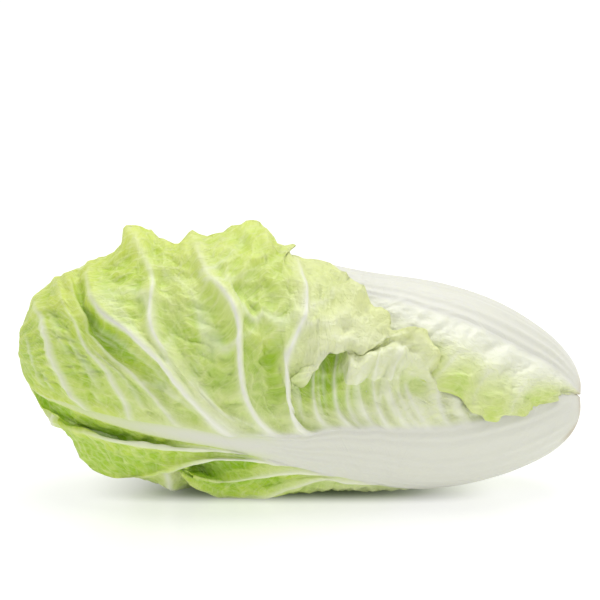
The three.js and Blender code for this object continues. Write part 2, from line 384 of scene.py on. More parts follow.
def room_under(station, around):
    """Lowest lift of the leaves already placed above each spot, smoothed; 0 where nothing covers it."""
    grid = widen(ceiling, NEAR_REACH, lambda cells: np.min(cells, 0))
    grid = widen(grid, NEAR_REACH, lambda cells: np.mean(cells, 0))
    row, column = ceiling_cell(station, around)
    i, j = row.astype(int), column.astype(int)
    return between_cells(grid, i, j, row - i, column - j)


def lower_ceiling(station, around, lift):
    """Notes on the map how far in a leaf reaches."""
    row, column = ceiling_cell(station, around)
    cell = (np.round(row).astype(int), np.round(column).astype(int) % ceiling.shape[1])
    np.minimum.at(ceiling, cell, lift)


# %% What every leaf has unless its spec says more
def nowhere(*measures):
    """Stands for what a leaf hasn't got."""
    return 0.0


# A leaf's own spec adds its guides, its rows and columns (lower blade, petiole, upper blade), its seed and
# relief, how many mm its petiole bulges and is thicker, the strings in it, and how green the blade is.
PLAIN_LEAF = {
    "twigs": [],  # branch veins that no guide follows
    "ragged": lambda roots: 0.04,  # share of a blade by which its edge may fall short
    "tucked": lambda station: 1.0,  # where the leaf goes under the leaves already made
    "base_lift": 0,  # mm that it stands off by the butt
    "near_relief": 1,  # relief of the lower blade over that of the upper one
    "pleats": lambda side: 0.6 * abs(side),  # fine folds that run along the veins
    "ladder": 0,  # mm, fine cross ridges on the lower blade
    "ruffle": nowhere,  # waves at the edge
    "crumple": nowhere,  # creases of a slumped or crowded part
    "painted_dent_shade": nowhere,  # painted shade: how much deeper green a dent is
    "shade": nowhere,  # deeper green over a whole blade, less where negative; on the first leaf, painted shade on its lower blade
    "blanched": nowhere,  # part that grew in the dark
    "scar": nowhere,  # brown mark
}

# %% The grid of one leaf
COVER_START, COVER_FULL = 0.2, 2.0  # mm that the leaves above reach inward for this one to go under them
BASE_LIFT_END = 30  # station where the lift by the butt has faded


def lay_out(spec):
    """A leaf's grid round the head, under the leaves already there, and what can be measured on it."""
    leaf = SimpleNamespace(roots=row_stations([spec["lower"], spec["upper"]], spec["rows"]))
    n_low, n_rib, n_up = spec["columns"]
    blades = []
    for guides, columns, seed in ((spec["lower"], n_low, 20), (spec["upper"], n_up, 21)):
        trim = ragged_edge(guides, leaf.roots, spec["ragged"](leaf.roots), spec["seed"] + seed)
        blades.append(loft(guides, leaf.roots, columns, trim))
    low_part, up_part = blades
    t = np.linspace(0, 1, n_rib + 2)[1:-1]
    rib_part = low_part[:, :1] * (1 - t[:, None]) + up_part[:, :1] * t[:, None]
    places = np.concatenate([low_part[:, ::-1], rib_part, up_part], 1)
    shape = places.shape[:2]
    column_facts = [
        np.concatenate([np.linspace(1, 0, n_low), np.zeros(n_rib), np.linspace(0, 1, n_up)]),
        np.repeat([-1.0, 0.0, 1.0], spec["columns"]),
        np.concatenate([np.zeros(n_low), np.sin(np.pi * t), np.zeros(n_up)]),
    ]
    leaf.outward, leaf.side, leaf.crown = (np.broadcast_to(fact, shape) for fact in column_facts)
    leaf.station, leaf.around, lift = np.moveaxis(places, -1, 0)
    room = room_under(leaf.station, leaf.around)
    leaf.covered = spec["tucked"](leaf.station) * smooth(-room, COVER_START, COVER_FULL)
    lift = lift + spec["base_lift"] * (1 - smooth(leaf.station, -3, BASE_LIFT_END))
    pressed = np.minimum(lift, room - GAP - 0.6 * spec["relief"])
    leaf.lift = lift * (1 - leaf.covered) + pressed * leaf.covered
    leaf.flat = head_point(leaf.station, leaf.around, leaf.lift)
    leaf.across = run_length(leaf.flat, 1)
    low_edge, up_edge = (leaf.across[:, n:n + 1] for n in (n_low - 1, n_low + n_rib))
    beyond = np.where(leaf.side < 0, low_edge - leaf.across, leaf.across - up_edge)
    leaf.beyond = np.where(leaf.side == 0, 0, beyond)
    leaf.rib_width = up_edge - low_edge
    leaf.veins, leaf.vein_gap = np.zeros(shape), np.full(shape, NO_VEIN)
    for half, guides in ((slice(0, n_low), spec["lower"]), (slice(n_low + n_rib, None), spec["upper"])):
        leaf.veins[:, half], leaf.vein_gap[:, half] = vein_field(
            leaf.flat[:, half], leaf.roots, guides, leaf.outward[:, half]
        )
    for twig in spec["twigs"]:
        leaf.veins = np.maximum(leaf.veins, twig_field(twig, leaf.station, leaf.around))
    return leaf


# %% The relief of one leaf
WAVE, PUCKER, FINE_PUCKER, BLISTER, CREASE = 34, 11, 5.5, 9, 9  # mm across each kind of lump
RUFFLE, FINE_RUFFLE, CRUMPLE, FOLD, PLEAT, RUNG = 13, 6, 8, 5.5, 5, 2.7  # mm
FULL_BLADE = 9  # mm beyond the petiole where the blade's relief is full
VEIN_REACH = 5  # mm over which the blade rises to meet a vein
VEIN_HEIGHT = 1.6  # mm, the thickest vein, over the blade beside it
BLISTER_HEIGHT = 1.7
PLEAT_VEIN = 0.45  # strength of the thin veins that follow the pleats
PLEAT_STRETCH, RUNG_STRETCH = 0.1, 0.15  # width over length of the lumps that make pleats and rungs
BLISTER_RIM = 2.5  # mm from a blister's edge to its full depth
SLANT = 0.7  # how far a lift shifts the lumps, so that they don't stretch on a steep fold
TIP_CALM, CALM_START, CALM_END = 0.7, 292, 314  # share of the relief that fades where the tips meet


def press_relief(leaf, spec):
    """Adds the leaf's lumps to its facts, and its relief: how many mm each point stands out."""
    seed, side, outward = spec["seed"], leaf.side, leaf.outward
    leaf.blade = smooth(leaf.beyond, 0, FULL_BLADE)
    pleats = plane_noise(leaf.roots[:, None], leaf.across * PLEAT_STRETCH, PLEAT, seed + 12)
    pleated = spec["pleats"](side) * leaf.blade
    pleated = pleated * smooth(outward, 0.04, 0.2) * (1 - smooth(outward, 0.6, 0.95))
    leaf.veins = np.maximum(leaf.veins, PLEAT_VEIN * pleated * np.exp(-((pleats / 0.1) ** 2)))
    u, v = leaf.station + SLANT * leaf.lift, DEGREE_ARC * leaf.around - SLANT * leaf.lift
    leaf.sheet = np.stack([u, v, leaf.across], -1)
    leaf.wide = plane_noise(u, v, WAVE, seed)
    leaf.puckers = plane_noise(u, v, PUCKER, seed + 1) + 0.6 * plane_noise(u, v, FINE_PUCKER, seed + 2)
    blisters = cell_edges(u + 3 * leaf.wide, v + 3 * leaf.puckers, BLISTER, seed + 3)
    leaf.creases = smooth(1 - 4 * abs(plane_noise(u + leaf.puckers, v, CREASE, seed + 8)), 0, 1)
    leaf.between = 1 - np.exp(-((leaf.vein_gap / VEIN_REACH) ** 2))
    leaf.pocket = leaf.blade * leaf.between * np.clip(blisters / BLISTER_RIM, 0, 1)
    depth = spec["relief"] * np.where(side < 0, spec["near_relief"], 1)
    waves = 1.6 * plane_noise(u, v, RUFFLE, seed + 4) + 0.6 * plane_noise(u, v, FINE_RUFFLE, seed + 5)
    near_edge = outward**3 * smooth(leaf.beyond, 2, 18)
    crumple = spec["crumple"](leaf.station, outward, side) * (1 - leaf.covered)
    folds = 1 - 2.5 * abs(plane_noise(u + 2 * leaf.puckers, v, FOLD, seed + 10))
    rungs = plane_noise(leaf.roots[:, None] + 2.5 * leaf.puckers, leaf.across * RUNG_STRETCH, RUNG, seed + 6)
    ladder = spec["ladder"] * (side < 0) * (1 - leaf.covered) * (1 - smooth(outward, 0.5, 0.9)) * leaf.blade
    lumps = 1.5 * leaf.puckers + 1.5 * leaf.wide - leaf.between * (1.6 + 1.3 * leaf.creases)
    leaf.relief = (
        VEIN_HEIGHT * leaf.veins * spec["relief"]
        + depth * leaf.blade * lumps
        - BLISTER_HEIGHT * depth * leaf.pocket
        + near_edge * spec["ruffle"](leaf.station, side) * waves
        + pleated * leaf.between * (0.6 - 1.6 * abs(pleats))
        + crumple * leaf.blade * (1.3 * plane_noise(u, v, CRUMPLE, seed + 7) + 0.8 * folds)
        + ladder * (1 - 2.5 * abs(rungs))
    ) * (1 - TIP_CALM * smooth(leaf.station, CALM_START, CALM_END))


# %% The thickness of one leaf
LAMINA = 0.7  # mm, blade thickness
EDGE_THINNING = 0.45  # what is left of it at the very edge
STRING_HEIGHT = 1.1
BASE_FLESH, BASE_END = 6, 40  # mm that a petiole's base is thicker, and the station where that ends


def rib_strings(n_low, n_rib, n_up, count, seed):
    """Soft ridges along the petiole, where its strings run: a height from 0 to 1 for each column."""
    rng = np.random.default_rng(seed + 9)
    t = np.linspace(0, 1, n_rib + 2)[1:-1]
    height = np.zeros(n_rib)
    for number in range(count):
        place = (number + 0.5 + rng.uniform(-0.25, 0.25)) / count
        width = rng.uniform(0.22, 0.4) / count
        height = np.maximum(height, rng.uniform(0.5, 1) * np.exp(-(((t - place) / width) ** 2)))
    return np.concatenate([np.zeros(n_low), height, np.zeros(n_up)])[None, :]


def two_sides(leaf, spec):
    """The leaf's outer side with its relief, its inner side, and how far apart they are, in mm."""
    strings = rib_strings(*spec["columns"], spec["strings"], spec["seed"])
    petiole = leaf.crown * spec["petiole_bulge"] * smooth(leaf.rib_width, 4, 40)
    petiole = petiole + STRING_HEIGHT * strings * smooth(leaf.rib_width, 8, 30) * smooth(leaf.station, 2, 20)
    outside = rest_on_floor(leaf.flat + grid_normals(leaf.flat, 3) * (leaf.relief + petiole)[..., None])
    thin = LAMINA * (1 - (1 - EDGE_THINNING) * leaf.outward**4)
    flesh = leaf.crown * np.minimum(0.16 * leaf.rib_width, spec["petiole_flesh"])
    flesh = flesh + BASE_FLESH * leaf.crown**0.3 * (leaf.side == 0) * (1 - smooth(leaf.station, 0, BASE_END))
    thickness = thin + flesh + 0.8 * leaf.veins * LAMINA
    inside = outside - grid_normals(outside) * thickness[..., None]
    inside[..., 2] = np.maximum(inside[..., 2], 0.05)
    return outside, inside, thickness


# %% Making a mesh
def new_piece(name, points, faces, looks):
    """A smooth mesh from points in mm and faces. Each look is a value or a vector for every point."""
    mesh = bpy.data.meshes.new(name)
    mesh.from_pydata((points * MM).tolist(), [], faces)
    mesh.validate()
    mesh.polygons.foreach_set("use_smooth", [True] * len(mesh.polygons))
    for key, values in looks.items():
        kind, field = ("FLOAT", "value") if values.ndim == 1 else ("FLOAT_VECTOR", "vector")
        layer = mesh.attributes.new(key, kind, "POINT")
        layer.data.foreach_set(field, values.ravel())
    piece = bpy.data.objects.new(name, mesh)
    bpy.context.scene.collection.objects.link(piece)
    return piece


def solid_from_grid(name, outside, inside, looks):
    """One closed mesh from two grids of points and the strip that joins their rims."""
    count = outside[..., 0].size
    ids = np.arange(count).reshape(outside.shape[:2])
    front = np.stack([ids[:-1, :-1], ids[:-1, 1:], ids[1:, 1:], ids[1:, :-1]], -1).reshape(-1, 4)
    back = front[:, ::-1] + count
    loop = np.concatenate([ids[0, :-1], ids[:-1, -1], ids[-1, :0:-1], ids[:0:-1, 0]])
    after = np.roll(loop, -1)
    rim = np.stack([after, loop, loop + count, after + count], -1)
    points = np.concatenate([outside.reshape(-1, 3), inside.reshape(-1, 3)])
    return new_piece(name, points, np.concatenate([front, back, rim]).tolist(), looks)


# %% Building one leaf
def look_of(leaf, spec):
    """What the finish mixes its colours by: a value for each point under each name."""
    station, outward, side, blade = leaf.station, leaf.outward, leaf.side, leaf.blade
    # Painted shade: dents are painted greener and deeper, as light that has passed through more leaf would
    # make them.
    dent_shade = spec["painted_dent_shade"](station, side) * smooth(-leaf.lift, 1.5, 7) * blade
    white_by_vein = 0.4 * np.exp(-leaf.vein_gap / VEIN_REACH) * blade
    # Painted shade: blister hollows, low puckers and creases are painted deeper green; away from the veins
    # the blade is also truly greener.
    lumps = 0.45 * leaf.pocket - 0.35 * leaf.puckers
    lumps = lumps + 0.2 * leaf.between * blade + 0.3 * leaf.creases * blade
    petiole = leaf.crown**0.25 * (side == 0)
    petiole_rim = np.exp(-((leaf.beyond / 3.5) ** 2)) * smooth(leaf.rib_width, 3, 20)
    butt_rim = np.exp(-np.maximum(leaf.roots - leaf.roots[0], 0) / 1.5)[:, None]
    return {
        "vein": np.maximum(leaf.veins, spec["blanched"](outward, side)),
        "green": spec["green"](station, outward, side) + 0.08 * leaf.wide - white_by_vein + dent_shade,
        "rib": (1 - 0.6 * smooth(station, 190, 300)) * np.maximum(petiole, petiole_rim),
        "pocket": np.clip(lumps + dent_shade + spec["shade"](station, side) * blade, 0, 1),
        "edge": outward**5 * blade * np.where(side < 0, 0.3, 1),
        "cut": butt_rim + spec["scar"](station, leaf.around),
    }


def build_leaf(name, spec):
    """Makes the closed mesh of a leaf from its spec, and notes the room that it takes."""
    spec = {**PLAIN_LEAF, **spec}
    leaf = lay_out(spec)
    press_relief(leaf, spec)
    outside, inside, thickness = two_sides(leaf, spec)
    lower_ceiling(leaf.station, leaf.around, leaf.lift + leaf.relief - thickness)
    looks = {key: np.broadcast_to(v, leaf.station.shape).ravel() for key, v in look_of(leaf, spec).items()}
    looks["sheet"] = leaf.sheet.reshape(-1, 3)
    looks = {key: np.concatenate([values, values]) for key, values in looks.items()}  # outer and inner side
    piece = solid_from_grid(name, outside, inside, looks)
    print(name, "rows and columns", outside.shape[:2], "triangles", 2 * len(piece.data.polygons))
    return piece


# %% [markdown]
# ## Colours and the leaf's finish
# A cabbage leaf is mostly water in thin cells, so it is smooth, slightly waxy and lets light through. The
# petiole and veins have no chlorophyll and are milky white. The blade goes from nearly white by the
# petiole to yellow-green. Its pockets are painted darker green: painted shade, for the light that has passed
# through more leaf there.
# A painted image could hold the colours, but here they are mixed by what the mesh knows of itself: how near
# a vein it is and how far from the midrib.

# %% Node helpers
def linear(hex_colour):
    """sRGB hex to the linear colour that a shader needs."""
    channels = [int(hex_colour[i:i + 2], 16) / 255 for i in (1, 3, 5)]
    return [c / 12.92 if c <= 0.04045 else ((c + 0.055) / 1.055) ** 2.4 for c in channels] + [1.0]


def add_node(tree, kind, inputs, output=0, **settings):
    """Adds one node with its settings, sets or links its inputs, and returns one of its outputs. Sockets go
    by name, or by number where a node has several of one name."""
    node = tree.nodes.new("ShaderNode" + kind)
    for key, value in settings.items():
        setattr(node, key, value)
    for key, value in inputs.items():
        if isinstance(value, bpy.types.NodeSocket):
            tree.links.new(value, node.inputs[key])
        else:
            node.inputs[key].default_value = value
    return node.outputs[output] if node.outputs else None


def nodes_of(owner):
    """Starts the nodes of a material or a world: gives add_node for them."""
    owner.use_nodes = True
    owner.node_tree.nodes.clear()
    return partial(add_node, owner.node_tree)


def span(from_min, from_max, to_min=0.0, to_max=1.0):
    """The limits of a Map Range node."""
    return {"From Min": from_min, "From Max": from_max, "To Min": to_min, "To Max": to_max}


PLUS, MINUS, TIMES = ({"operation": name} for name in ("ADD", "SUBTRACT", "MULTIPLY"))
TIMES_PLUS, SCALE, LENGTH = ({"operation": name} for name in ("MULTIPLY_ADD", "SCALE", "LENGTH"))
CLAMPED = {"use_clamp": True}
SOFT = {"interpolation_type": "SMOOTHSTEP"}
BLEND = {"data_type": "RGBA"}  # a Mix node's colours are its inputs 6 and 7, and its output 2

# %% Net of small veins
BEND, BEND_SCALE = 7.0, 0.12  # mm that the net wanders off its cells, and how often in a mm


def vein_net(add, sheet, cell, line):
    """White lines between cells of a size in mm, line cells wide: 1 on a line, 0 inside a cell."""
    bends = add("TexNoise", {"Vector": sheet, "Scale": BEND_SCALE, "Detail": 3.0}, "Color")
    bend = add("VectorMath", {0: bends, "Scale": BEND}, **SCALE)
    bent = add("VectorMath", {0: sheet, 1: bend}, **PLUS)
    place = add("VectorMath", {0: bent, "Scale": 1 / cell}, **SCALE)
    flat_cells = {"feature": "DISTANCE_TO_EDGE", "voronoi_dimensions": "2D"}
    to_edge = add("TexVoronoi", {"Vector": place, "Scale": 1.0}, "Distance", **flat_cells)
    return add("MapRange", {"Value": to_edge, **span(0.0, line, 1.0, 0.0)}, **SOFT)


# %% Fresh cabbage leaf
NET_CELL, NET_LINE = 6.5, 0.26  # mm between the small veins that join the side veins, and a line's share
FINE_CELL, FINE_LINE = 2.4, 0.3  # the finest ones, drawn coarser than the real 1 mm so that they show
FEATHER_GAP, FEATHER_LENGTH = 2.0, 12  # mm between the fine wrinkles that cross from vein to vein, and along
FEATHER_START, FEATHER_FULL = 0.48, 0.68  # noise between which a wrinkle comes up
FIBRE_GAP, FIBRE_LENGTH = 3.2, 83.3  # mm between the strings in the petiole, and along them
PATCH_SCALE, GRAIN_SCALE = 0.05, 0.9  # tones about 20 mm wide, and skin grain about 1 mm wide
WRINKLE_HEIGHT = 0.6  # mm
NET_WHITE, FINE_WHITE, FEATHER_WHITE = 0.22, 0.1, 0.27  # how far each pattern pales the blade
NET_RISE, FINE_RISE, FEATHER_RISE = 0.6, 0.25, 0.5  # shares of the wrinkle height
FIBRE_RISE, GRAIN_RISE = 1.2, 0.3
LEAF_ROUGHNESS = 0.42  # slightly waxy skin: a broad, soft shine
TISSUE_IOR = 1.4  # wet plant tissue
SSS_SHARE, SSS_DEPTH = 0.25, 1.5  # light that goes in, so that thin parts glow, and mm that it travels
DRIED_TAN = "#a8905c"  # where a cut has dried


def cabbage_leaf(name, colours):
    """Crisp, slightly waxy leaf: white petiole and veins, yellow-green blade, with painted shade that makes
    its pockets deeper green.
    """
    material = bpy.data.materials.new(name)
    add = nodes_of(material)
    looks = ("vein", "green", "rib", "pocket", "edge", "cut")
    vein, green, rib, pocket, edge, cut = (add("Attribute", {}, "Fac", attribute_name=key) for key in looks)
    sheet_and_across = add("Attribute", {}, "Vector", attribute_name="sheet")
    sheet = add("VectorMath", {0: sheet_and_across, 1: (1, 1, 0)}, **TIMES)
    off_rib = add("Math", {0: 1.0, 1: rib}, **MINUS, **CLAMPED)
    off_vein = add("Math", {0: 1.0, 1: vein}, **MINUS, **CLAMPED)
    open_blade = add("Math", {0: off_rib, 1: off_vein}, **TIMES)
    comb = add("VectorMath", {0: sheet_and_across, 1: (1 / FEATHER_LENGTH, 0, 1 / FEATHER_GAP)}, **TIMES)
    wrinkles = add("TexNoise", {"Vector": comb, "Scale": 1.0, "Detail": 2.0, "Distortion": 0.6}, "Fac")
    patterns = [
        vein_net(add, sheet, NET_CELL, NET_LINE),
        vein_net(add, sheet, FINE_CELL, FINE_LINE),
        add("MapRange", {"Value": wrinkles, **span(FEATHER_START, FEATHER_FULL)}, **SOFT),
    ]
    net, fine_net, feather = (add("Math", {0: pattern, 1: open_blade}, **TIMES) for pattern in patterns)
    patches = add("TexNoise", {"Vector": sheet, "Scale": PATCH_SCALE, "Detail": 4.0}, "Fac")
    tone = add("Math", {0: patches, 1: 0.5, 2: -0.25}, **TIMES_PLUS)
    tone = add("Math", {0: green, 1: tone}, **PLUS, **CLAMPED)
    # Pockets go towards the deep green: the blade's own deeper green and painted shade.
    deep_green_and_painted_shade = add("Math", {0: pocket, 1: add("Math", {0: green, 1: 0.9}, **TIMES)}, **TIMES)
    rim = add("Math", {0: edge, 1: 0.5}, **TIMES)
    lines = add("Math", {0: fine_net, 1: FINE_WHITE}, **TIMES)
    for pattern, share in ((net, NET_WHITE), (feather, FEATHER_WHITE)):
        lines = add("Math", {0: pattern, 1: share, 2: lines}, **TIMES_PLUS, **CLAMPED)
    dried = add("Math", {0: cut, 1: add("Math", {0: patches, 1: 0.1}, **PLUS)}, **TIMES, **CLAMPED)
    shares = {
        "green": tone, "deep_green_and_painted_shade": deep_green_and_painted_shade, "edge": rim, "net": lines, "vein": vein, "petiole": rib, "dried": dried,
    }
    colour = linear(colours["pale"])
    for layer, share in shares.items():
        paint = linear(colours.get(layer, DRIED_TAN))
        colour = add("Mix", {0: share, 6: colour, 7: paint}, 2, **BLEND)

    strings = add("VectorMath", {0: sheet_and_across, 1: (1 / FIBRE_LENGTH, 0, 1 / FIBRE_GAP)}, **TIMES)
    fibres = add("TexNoise", {"Vector": strings, "Scale": 1.0, "Detail": 2.0}, "Fac")
    fibres = add("Math", {0: fibres, 1: rib}, **TIMES)
    grain = add("TexNoise", {"Vector": sheet, "Scale": GRAIN_SCALE, "Detail": 3.0}, "Fac")
    height = add("Math", {0: net, 1: NET_RISE}, **TIMES)
    risen = ((fine_net, FINE_RISE), (fibres, FIBRE_RISE), (feather, FEATHER_RISE), (grain, GRAIN_RISE))
    for pattern, share in risen:
        height = add("Math", {0: pattern, 1: share, 2: height}, **TIMES_PLUS)
    bump = add("Bump", {"Height": height, "Strength": 0.6, "Distance": WRINKLE_HEIGHT * MM})
    surface = add("BsdfPrincipled", {
        "Base Color": colour, "Roughness": LEAF_ROUGHNESS, "IOR": TISSUE_IOR, "Normal": bump,
        "Subsurface Weight": SSS_SHARE, "Subsurface Radius": (1.0, 1.0, 0.6),
        "Subsurface Scale": SSS_DEPTH * MM,
    })
    add("OutputMaterial", {"Surface": surface})
    print(name, "with", len(material.node_tree.nodes), "nodes")
    return material


outer_finish = cabbage_leaf("outer_cabbage_leaf", {
    "pale": "#e8ecca", "green": "#c9de56", "deep_green_and_painted_shade": "#a0c81c", "edge": "#d8e166",
    "net": "#e6eeac", "vein": "#eff0e0", "petiole": "#dfdfd3",
})
middle_finish = cabbage_leaf("middle_cabbage_leaf", {
    "pale": "#eef0cf", "green": "#c6d870", "deep_green_and_painted_shade": "#b4c84a", "edge": "#dbe27e",
    "net": "#ebf0c6", "vein": "#ecedda", "petiole": "#e9e8df",
})
heart_finish = cabbage_leaf("heart_cabbage_leaf", {
    "pale": "#f4f2d2", "green": "#e9e69a", "deep_green_and_painted_shade": "#dcd868", "edge": "#ece780",
    "net": "#f3f1cc", "vein": "#efeeda", "petiole": "#ebe9de",
})


# %% [markdown]
# ## The first leaf
# The outermost leaf faces the front. Its petiole runs low along the head as a broad white band, and its
# veins fan up over the head's side. The guides below were laid one by one: each names where a vein or a fold
# goes. Its blade folds over itself once, where the loose upper edge has slumped. Sculpting would give such
# a fold too, but guides keep the veins on their lines, and each can be moved alone.

# %% Upper blade of outer leaf 1
upper_1 = fan([
    [(1,18), (1,24,-1), (1,30,-2)],
    [(12,12), (13,20,-1), (14,28,-2)],
    [(28,0), (31,8,-1), (33,16,-2)],
    [(54,-8), (58,-1,-1), (60,6,-2), (61,12,-2)],
    [(66,-10), (70,-4), (72,2,-1), (73,8,-2), (73,13,-3), 0.25],
    [(76,-12), (80,-6), (82,0,-1), (83,6,-2), (82,12,-3), (80,17,-2), 0.3],
    [(88,-12), (91,-8), (94,-3,-1), (97,2,-2), (99,7,-3), (100,11,-4), (99,15,-4), (96,17,-3), (93,18),
     (90,20,2), (88,23,2), (86,27,2), (84,30,2), 0.3, 0, 0.5],
    [(93,-12), (96,-8), (100,-3,-1), (102,2,-2), (104,8,-3), (105,15,-2), (105,18,2), (103,20,6),
     (101,24,7), (97,28,3), (94,30,3), (90,33,3), (88,36,3), 0.1, 0, 0.4],
    [(98,-12), (102,-8), (105,-3,-1), (108,3,-2), (110,10,-2), (111,19), (110,14,7), (107,22,10),
     (103,28,9), (100,31,3), (96,33,3), (93,37,4), (90,41,5), 0.35, 0, 0.4],
    [(108,-12), (112,-8), (115,-3,-1), (117,3,-3), (118,10,-3), (118,18,-1), (118,13,6), (116,19,10),
     (112,27,10), (108,33,3), (106,35,4), (102,38,4), (99,41,4), 0.35, 0, 0.4],
    [(116,-11), (120,-8,-1), (123,-3,-2), (125,3,-4), (126,10,-4), (125,16,-2), (126,11,4), (125,14,9),
     (123,21,10), (119,28,2), (116,30,6), (112,36,5), (108,40,4), 0.35, 0, 0.4],
    [(122,-12), (127,-9,-1), (130,-5,-3), (132,1,-4), (132,9,-4), (131,14,-2), (132,10,4), (132,12,8),
     (130,18,8), (127,25,1), (124,26,7), (117,36,6), (108,44,4), 0.2, 0, 0.4],
    [(128,-12), (132,-10,-1), (136,-6,-3), (138,-1,-5), (139,6,-6), (139,13,-7), (138,20,-7), (137,28,-6),
     (136,31), (136,25,6), (131,31,8), (121,40,6), (108,49,4), 0.5, 0, 0.7],
    [(134,-12), (138,-10,-1), (142,-6,-3), (144,-1,-5), (145,6,-6), (145,13,-7), (145,20,-7), (144,27,-5),
     (144,26,2), (144,20,7), (138,28,8), (127,41,7), (111,54,5)],
    [(139,-13), (144,-11,-1), (148,-7,-2), (150,-2,-4), (151,4,-6), (151,10,-6), (151,16,-6), (150,20,-3),
     (150,18,3), (150,13,6), (145,24,8), (135,42,7), (120,64,5), 0.4, 0, 0.6],
    [(144,-14), (150,-12,-1), (154,-9,-2), (156,-5,-3), (157,-1,-4), (157,3,-4), (157,6,-3), (157,8,-1),
     (157,8,2), (156,7,4), (151,24,7), (143,46,7), (130,80,6)],
    [(148,-15), (152,-14), (155,-12), (157,-10,-1), (158,-7,-1), (159,-4), (160,-1,1), (160,2,2),
     (160,6,3), (158,14,4), (152,32,5), (147,52,6), (140,82,7)],
    [(152,-16), (157,-13,1), (160,-9,1), (162,-5,2), (163,-1,2), (164,3,3), (164,8,3), (164,13,3),
     (164,19,3), (159,30,4), (154,42,5), (155,60,5), (161,82,7), 0.9, 0, 1, 0.9],
    [(155,-17), (162,-11), (166,-3,-1), (169,7,-1), (171,20,-1), (168,32,2), (164,44,5), (163,62,9),
     (160,82,10)],
    [(157,-17), (165,-11,-1), (169,-3,-3), (172,7,-4), (175,20,-4), (174,32,-1), (171,46,3), (168,63,11),
     (156,84,15)],
    [(159,-17), (168,-11,-1), (173,-1,-2), (176,11,-2), (178,25,-2), (178,37,1), (177,50,4), (175,66,11),
     (167,88,19)],
    [(161,-17), (170,-11,-1), (176,1,-1), (180,14,-1), (181,29), (182,42,2), (183,54,5), (182,69,12),
     (179,92,24)],
    [(165,-17), (173,-12), (182,0,1), (185,14,1), (186,28,2), (188,43,3), (192,55,5), (196,68,10),
     (200,96,19)],
    [(169,-17), (177,-12,1), (184,-3,2), (188,8,3), (189,21,4), (190,36,4), (198,47,5), (210,62,6),
     (216,92,13), 0.85],
    [(174,-17), (184,-12), (195,-6,-1), (200,5,-3), (202,19,-4), (203,33,-3), (208,45,-1), (216,62,5),
     (223,88,10)],
    [(178,-17), (190,-11), (203,-2), (209,9), (214,22), (218,34), (221,48,1), (227,66,5), (231,86,11)],
    [(182,-17), (195,-10), (210,2), (222,16,-1), (228,28,-1), (230,42), (232,56,1), (234,70,7),
     (239,90,18)],
    [(186,-17), (199,-9), (213,4,1), (225,16,2), (235,26,2), (237,37,3), (236,52,3), (241,67,7),
     (251,90,20), 0.6, 0.45],
    [(190,-17), (203,-8,1), (216,4,2), (229,16,2), (240,26,2), (244,36,1), (252,47,1), (258,62,3),
     (266,91,6)],
    [(195,-17), (207,-8,1), (220,3,2), (233,15,3), (245,24,3), (256,31,3), (265,39,3), (274,62,1),
     (277,101,2), 1.0],
    [(206,-16), (218,-7), (230,1,-3), (241,10,-5), (253,17,-5), (264,23,-6), (273,31,-7), (281,54,-3),
     (285,100,1)],
    [(222,-15), (228,-10), (236,-2), (244,4,-1), (253,10,-2), (263,16,-3), (272,25,-3), (282,50,-2),
     (291,99,1), 0.3],
    [(248,-16), (251,-8), (257,0), (262,8,1), (270,14,1), (273,19,2), (278,30,1), (288,50), (297,98,1),
     0.4],
    [(272,-18), (279,-13,1), (284,-5,2), (289,4,2), (292,16,2), (296,29,2), (300,42,1), (305,60,1),
     (307,92,1), 0.5],
    [(288,-21), (295,-15), (300,-5), (304,9), (307,22,-1), (310,46), (312,84)],
    [(303,-31), (308,-24), (312,-10), (314,10,1), (315,60)],
    [(312,-37), (314,-38), (316,-39), (317,-38)],
])
print("upper guides:", len(upper_1))

# %% Lower blade of outer leaf 1
lower_1 = fan([
    [(1,-78), (1,-86), (1,-95)],
    [(55,-76), (66,-104), (72,-132)],
    [(82,-70), (98,-98), (112,-130)],
    [(98,-62), (122,-84), (150,-124)],
    [(108,-56), (132,-64), (160,-88), (190,-124)],
    [(116,-51), (132,-49), (146,-47), (160,-53,1), (174,-60,2), (189,-67,2), (205,-66,1), (222,-54,-2),
     0.3],
    [(130,-46), (145,-45,-1), (160,-48,-3), (175,-53,-4), (190,-56,-4), (205,-54,-4), (221,-48,-4)],
    [(142,-42), (154,-40), (166,-39,1), (178,-40,2), (190,-42,3), (202,-43,3), (215,-40,3), 0.4],
    [(156,-37), (170,-35,-1), (183,-34,-3), (196,-37,-6), (208,-42,-7), (216,-50,-8), (222,-56,-7)],
    [(167,-33), (178,-31), (190,-29,2), (203,-28,4), (216,-32,5), (231,-40,6), (248,-51,6), 0.5],
    [(178,-29), (190,-28), (205,-27,1), (222,-30,2), (239,-37,3), (257,-50,6), (271,-60,9)],
    [(190,-26), (206,-25,1), (224,-26,2), (242,-27,3), (260,-30,3), (273,-32,3), (287,-40,3), 0.5],
    [(210,-23), (224,-25,-1), (238,-29,-3), (252,-33,-4), (265,-36,-4), (278,-38,-3), (291,-40,-1)],
    [(258,-22), (270,-28,-2), (280,-34,-3), (288,-39,-3), (294,-42,-2), (298,-43,-1), (301,-44)],
    [(288,-24), (296,-33,-3), (301,-40,-4), (305,-46,-4), (308,-51,-3), (310,-55,-2)],
    [(303,-32), (308,-40,-1), (312,-48,-2), (314,-55,-2), (315,-62,-1)],
    [(312,-37), (314,-38), (316,-39), (317,-38)],
])
print("lower guides:", len(lower_1))

